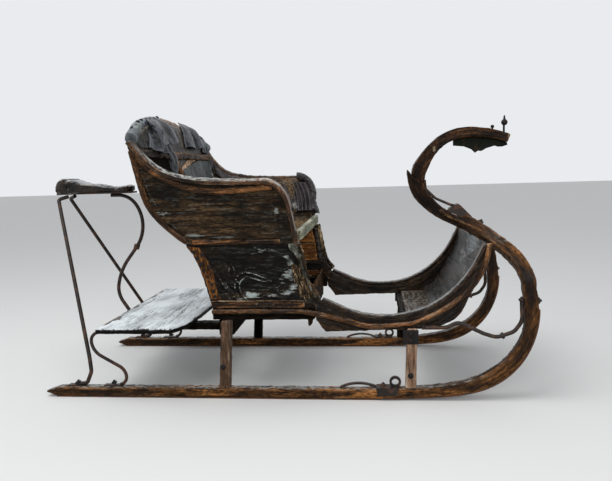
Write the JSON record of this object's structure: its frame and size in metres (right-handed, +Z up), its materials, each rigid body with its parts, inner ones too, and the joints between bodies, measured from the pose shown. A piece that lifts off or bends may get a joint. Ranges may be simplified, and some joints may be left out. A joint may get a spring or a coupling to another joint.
{
  "type": "horse-drawn sleigh",
  "caption": "Old one-horse passenger sleigh with bent runners, swan neck, flared seat body, open footwell, rear platform and driver's saddle.",
  "frame": {"origin": "on the ground below the middle of the sleigh's box", "axes": "+X forward, in the direction of travel; +Y to the sleigh's left; +Z up"},
  "size_m": [2.193, 1.1822, 1.222],
  "materials": {
    "bare_wood": "bare and dirty",
    "iron": "forged, dark and lightly rusted",
    "leather": "old black leather, cracked",
    "moulding_wood": "worn brown varnish",
    "neck_wood": "weathered dark varnish",
    "panel_wood": "dark varnish, peeling",
    "platform_wood": "wet grey board with worn brown edges",
    "post_wood": "weathered brown paint",
    "runner_wood": "weathered brown paint",
    "shoe_iron": "worn and rusted",
    "stuffing": "straw stuffing"
  },
  "bodies": {
    "root": {"arch_pad": "leather", "arm_pad_left": "leather", "arm_pad_right": "stuffing", "back_panel": "panel_wood", "back_rail": "bare_wood", "cap_moulding_left": "moulding_wood", "cap_moulding_right": "moulding_wood", "dash": "panel_wood", "draught_iron_left": "iron", "draught_iron_right": "iron", "foot_bead_left": "moulding_wood", "foot_bead_right": "moulding_wood", "foot_mouldings": "moulding_wood", "footwell_lip_left": "moulding_wood", "footwell_lip_right": "moulding_wood", "footwell_side_left": "panel_wood", "footwell_side_right": "panel_wood", "front_bolster": "post_wood", "front_floor": "bare_wood", "front_post_left": "post_wood", "front_post_right": "post_wood", "front_stay_left": "iron", "front_stay_right": "iron", "front_strips": "moulding_wood", "head_finial": "iron", "head_sheet": "iron", "lower_side_left": "panel_wood", "lower_side_right": "panel_wood", "mid_rails": "moulding_wood", "neck_bow_iron": "iron", "neck_lower": "neck_wood", "neck_upper": "neck_wood", "platform": "platform_wood", "platform_bearers": "platform_wood", "platform_bracket_left": "iron", "platform_bracket_right": "iron", "rear_bolster": "post_wood", "rear_moulding_left": "moulding_wood", "rear_moulding_right": "moulding_wood", "rear_post_left": "post_wood", "rear_post_right": "post_wood", "riser_board": "bare_wood", "roll_mouldings": "moulding_wood", "runner_left": "runner_wood", "runner_right": "runner_wood", "runner_shoe_left": "shoe_iron", "runner_shoe_right": "shoe_iron", "saddle_middle_rod": "iron", "saddle_pad": "leather", "saddle_plate": "iron", "saddle_rod_left": "iron", "saddle_rod_right": "iron", "seat_board": "bare_wood", "seat_floor": "bare_wood", "seat_rail": "bare_wood", "sill_left": "panel_wood", "sill_right": "panel_wood", "upper_side_left": "panel_wood", "upper_side_right": "panel_wood"}
  },
  "joints": []
}
